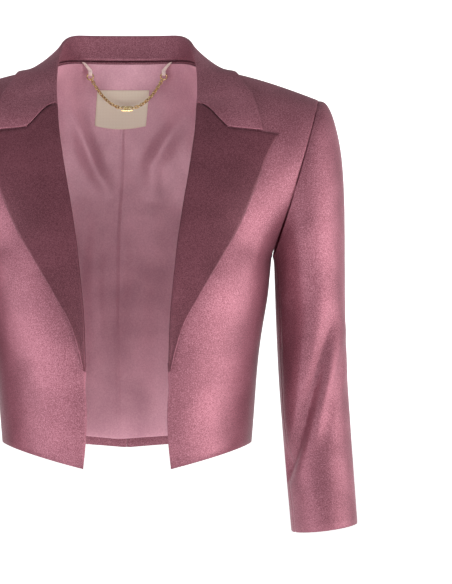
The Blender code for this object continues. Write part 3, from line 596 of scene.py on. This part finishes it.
def panels():
    """Every piece of cloth by name, with its creases."""
    made = {}
    for side in SIDES:
        for kind in ("front", "back", "sleeve_top", "sleeve_under"):
            made[f"{kind}_{side}"] = cloth_piece(f"{kind}_{side}", SATIN)
        # The lapels wear the satin darkened with painted shade
        made[f"lapel_{side}"] = cloth_piece(f"lapel_{side}", SATIN_PAINTED_SHADE)
        # Their lower outer edge gets a painted highlight in the brighter satin
        paint_edge_highlight(made[f"lapel_{side}"], SATIN)
        taper_end(made[f"lapel_{side}"])
        carry_edge_on(made[f"front_{side}"])
        press_creases(made[f"front_{side}"], FRONT_CREASES, out_of_body, side)
        press_creases(made[f"back_{side}"], BACK_CREASES, out_of_body, side)
        for kind in ("sleeve_top", "sleeve_under"):
            sleeve = made[f"{kind}_{side}"]
            press_creases(sleeve, SLEEVE_FRONT_CREASES, out_of_sleeve, side, on_front_of_sleeve)
            press_creases(sleeve, SLEEVE_BACK_CREASES, out_of_sleeve, side, on_back_of_sleeve)
    made["collar"] = cloth_piece("collar", SATIN)
    made["back_lining"] = cloth_piece("back_lining", LINING, halvings=LINING_HALVINGS)
    made["label"] = cloth_piece("label", COTTON)
    for name in ("back_lining", "label"):
        press_creases(made[name], LINING_CREASES, out_of_body)
        for side in SIDES:
            press_creases(made[name], BACK_CREASES, out_of_body, side)
    sew_lining_seam(made["back_lining"])
    return made


# Seams. The columns are the two pieces, and how far apart points are still drawn together.
SIDE_SEAMS = (
    ("front", "back", 2.8),
    ("sleeve_top", "sleeve_under", 1.8),
    ("front", "sleeve_top", 1.3),
    ("back", "sleeve_top", 1.3),
)
BACK_SEAM_REACH = 1.6


def sew_jacket(made):
    for side in SIDES:
        for first, second, reach_mm in SIDE_SEAMS:
            sew(made[f"{first}_{side}"], made[f"{second}_{side}"], reach_mm)
    sew(made["back_left"], made["back_right"], BACK_SEAM_REACH)


def ribbon_tabs():
    for side in SIDES:
        cloth_piece(f"hanger_tab_{side}", RIBBON, halvings=RIBBON_HALVINGS)


# Chain. A four-sided wire loses some of its thickness when it is rounded, and WIRE_SWELL puts it back.

WIRE_SWELL = 0.28
PLATE_EDGE = 0.22
PLATE_EDGE_STEPS = 2
PLATE_EDGE_OVER = math.radians(40.0)


def round_plate(piece):
    """Breaks the plate's sharp edges, as tumbling does."""
    apply(
        piece,
        "BEVEL",
        width=PLATE_EDGE * MM,
        segments=PLATE_EDGE_STEPS,
        angle_limit=PLATE_EDGE_OVER,
        limit_method="ANGLE",
    )
    make_active(piece)
    bpy.ops.object.shade_smooth_by_angle(angle=SMOOTH_UNDER)


def round_wire(piece):
    refine(piece, CHAIN_HALVINGS)
    make_active(piece)
    bpy.ops.object.mode_set(mode="EDIT")
    bpy.ops.mesh.select_all(action="SELECT")
    bpy.ops.transform.shrink_fatten(value=WIRE_SWELL * MM)
    bpy.ops.object.mode_set(mode="OBJECT")


def chain():
    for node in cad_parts:
        if not node.startswith("chain_"):
            continue
        piece = copy_of(node)
        piece.name = node + "_metal"
        if node == "chain_plate":
            round_plate(piece)
        else:
            round_wire(piece)
        piece.data.materials.append(GILT)
        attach(piece, "chain")
        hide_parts(node)


# Studio

# The camera stands in front of the jacket. Its lens is shifted, to put the jacket left of the photo's middle.
LENS_MM = 164.85
SENSOR_MM = 36.0
CAMERA_PLACE = (0.0, -2.8, -0.2408)
CAMERA_REACH = 30.0
PHOTO_LONG_SIDE_PX = 584
PHOTO_MIDDLE_PX = 226.0
JACKET_MIDDLE_PX = 127.0

# A sheet of paper that runs along the floor and curves up behind
FLOOR_Z = -0.68
PAPER_WIDTH = 9.0
PAPER_FRONT_Y = -1.2
PAPER_BACK_Y = 7.0
PAPER_TOP_Z = 1.6
PAPER_CURVE = 0.7
PAPER_CURVE_STEPS = 12

# Lights. The low wide one lights what faces down or forwards, so that the satin goes dark where it faces up.
# The columns are the name, the place, the point that it is aimed at, its width and height, watts and colour.
SOFTBOXES = (
    ("front_low", (0.25, -3.2, -1.05), (0.0, 0.0, -0.35), (5.0, 0.85), 44.0, "#FFFFFF"),
    ("side_right", (2.6, -0.9, -0.7), (0.1, 0.0, -0.3), (3.4, 1.0), 98.0, "#FFFDFB"),
    ("side_left", (-2.6, -0.9, -0.7), (-0.1, 0.0, -0.3), (3.4, 1.0), 68.0, "#FBFCFF"),
)
ROOM_COLOUR = "#FFFFFF"
ROOM_STRENGTH = 0.38


def studio():
    """The paper. It stops short at the top, so that the cloth's upper sides mirror no light from above."""
    bpy.ops.mesh.primitive_plane_add(size=1.0)
    sheet = bpy.context.object
    sheet.name = "paper"
    for vertex in sheet.data.vertices:
        y = PAPER_FRONT_Y if vertex.co.y < 0.0 else PAPER_BACK_Y
        vertex.co = (vertex.co.x * PAPER_WIDTH, y, FLOOR_Z)
    bpy.ops.object.mode_set(mode="EDIT")
    bpy.ops.mesh.select_mode(type="VERT")
    bpy.ops.mesh.select_all(action="DESELECT")
    bpy.ops.object.mode_set(mode="OBJECT")
    for vertex in sheet.data.vertices:
        vertex.select = vertex.co.y > 0.0
    bpy.ops.object.mode_set(mode="EDIT")
    bpy.ops.mesh.extrude_region_move(TRANSFORM_OT_translate={"value": (0.0, 0.0, PAPER_TOP_Z - FLOOR_Z)})
    bpy.ops.object.mode_set(mode="OBJECT")
    apply(sheet, "BEVEL", width=PAPER_CURVE, segments=PAPER_CURVE_STEPS, limit_method="ANGLE")
    bpy.ops.object.shade_smooth()
    sheet.data.materials.append(PAPER)


def softbox(name, place, aim, size, power, colour):
    light = bpy.data.lights.new(name, "AREA")
    light.shape = "RECTANGLE"
    light.size, light.size_y = size
    light.energy = power
    light.color = linear(colour)[:3]
    lamp = bpy.data.objects.new(name, light)
    lamp.location = place
    lamp.rotation_euler = (Vector(aim) - Vector(place)).to_track_quat("-Z", "Y").to_euler()
    bpy.context.scene.collection.objects.link(lamp)


def lighting():
    for row in SOFTBOXES:
        softbox(*row)
    world = bpy.data.worlds.new("studio")
    world.use_nodes = True
    room = world.node_tree.nodes["Background"]
    room.inputs["Color"].default_value = linear(ROOM_COLOUR)
    room.inputs["Strength"].default_value = ROOM_STRENGTH
    bpy.context.scene.world = world


def camera():
    lens = bpy.data.cameras.new("camera")
    lens.lens = LENS_MM
    lens.sensor_width = SENSOR_MM
    lens.shift_x = (PHOTO_MIDDLE_PX - JACKET_MIDDLE_PX) / PHOTO_LONG_SIDE_PX
    lens.clip_end = CAMERA_REACH
    stand = bpy.data.objects.new("camera", lens)
    stand.location = CAMERA_PLACE
    stand.rotation_euler = (math.radians(90.0), 0.0, 0.0)
    bpy.context.scene.collection.objects.link(stand)
    bpy.context.scene.camera = stand
    bpy.context.scene.view_settings.view_transform = "Standard"


camera()
made = panels()
sew_jacket(made)
ribbon_tabs()
chain()
studio()
lighting()
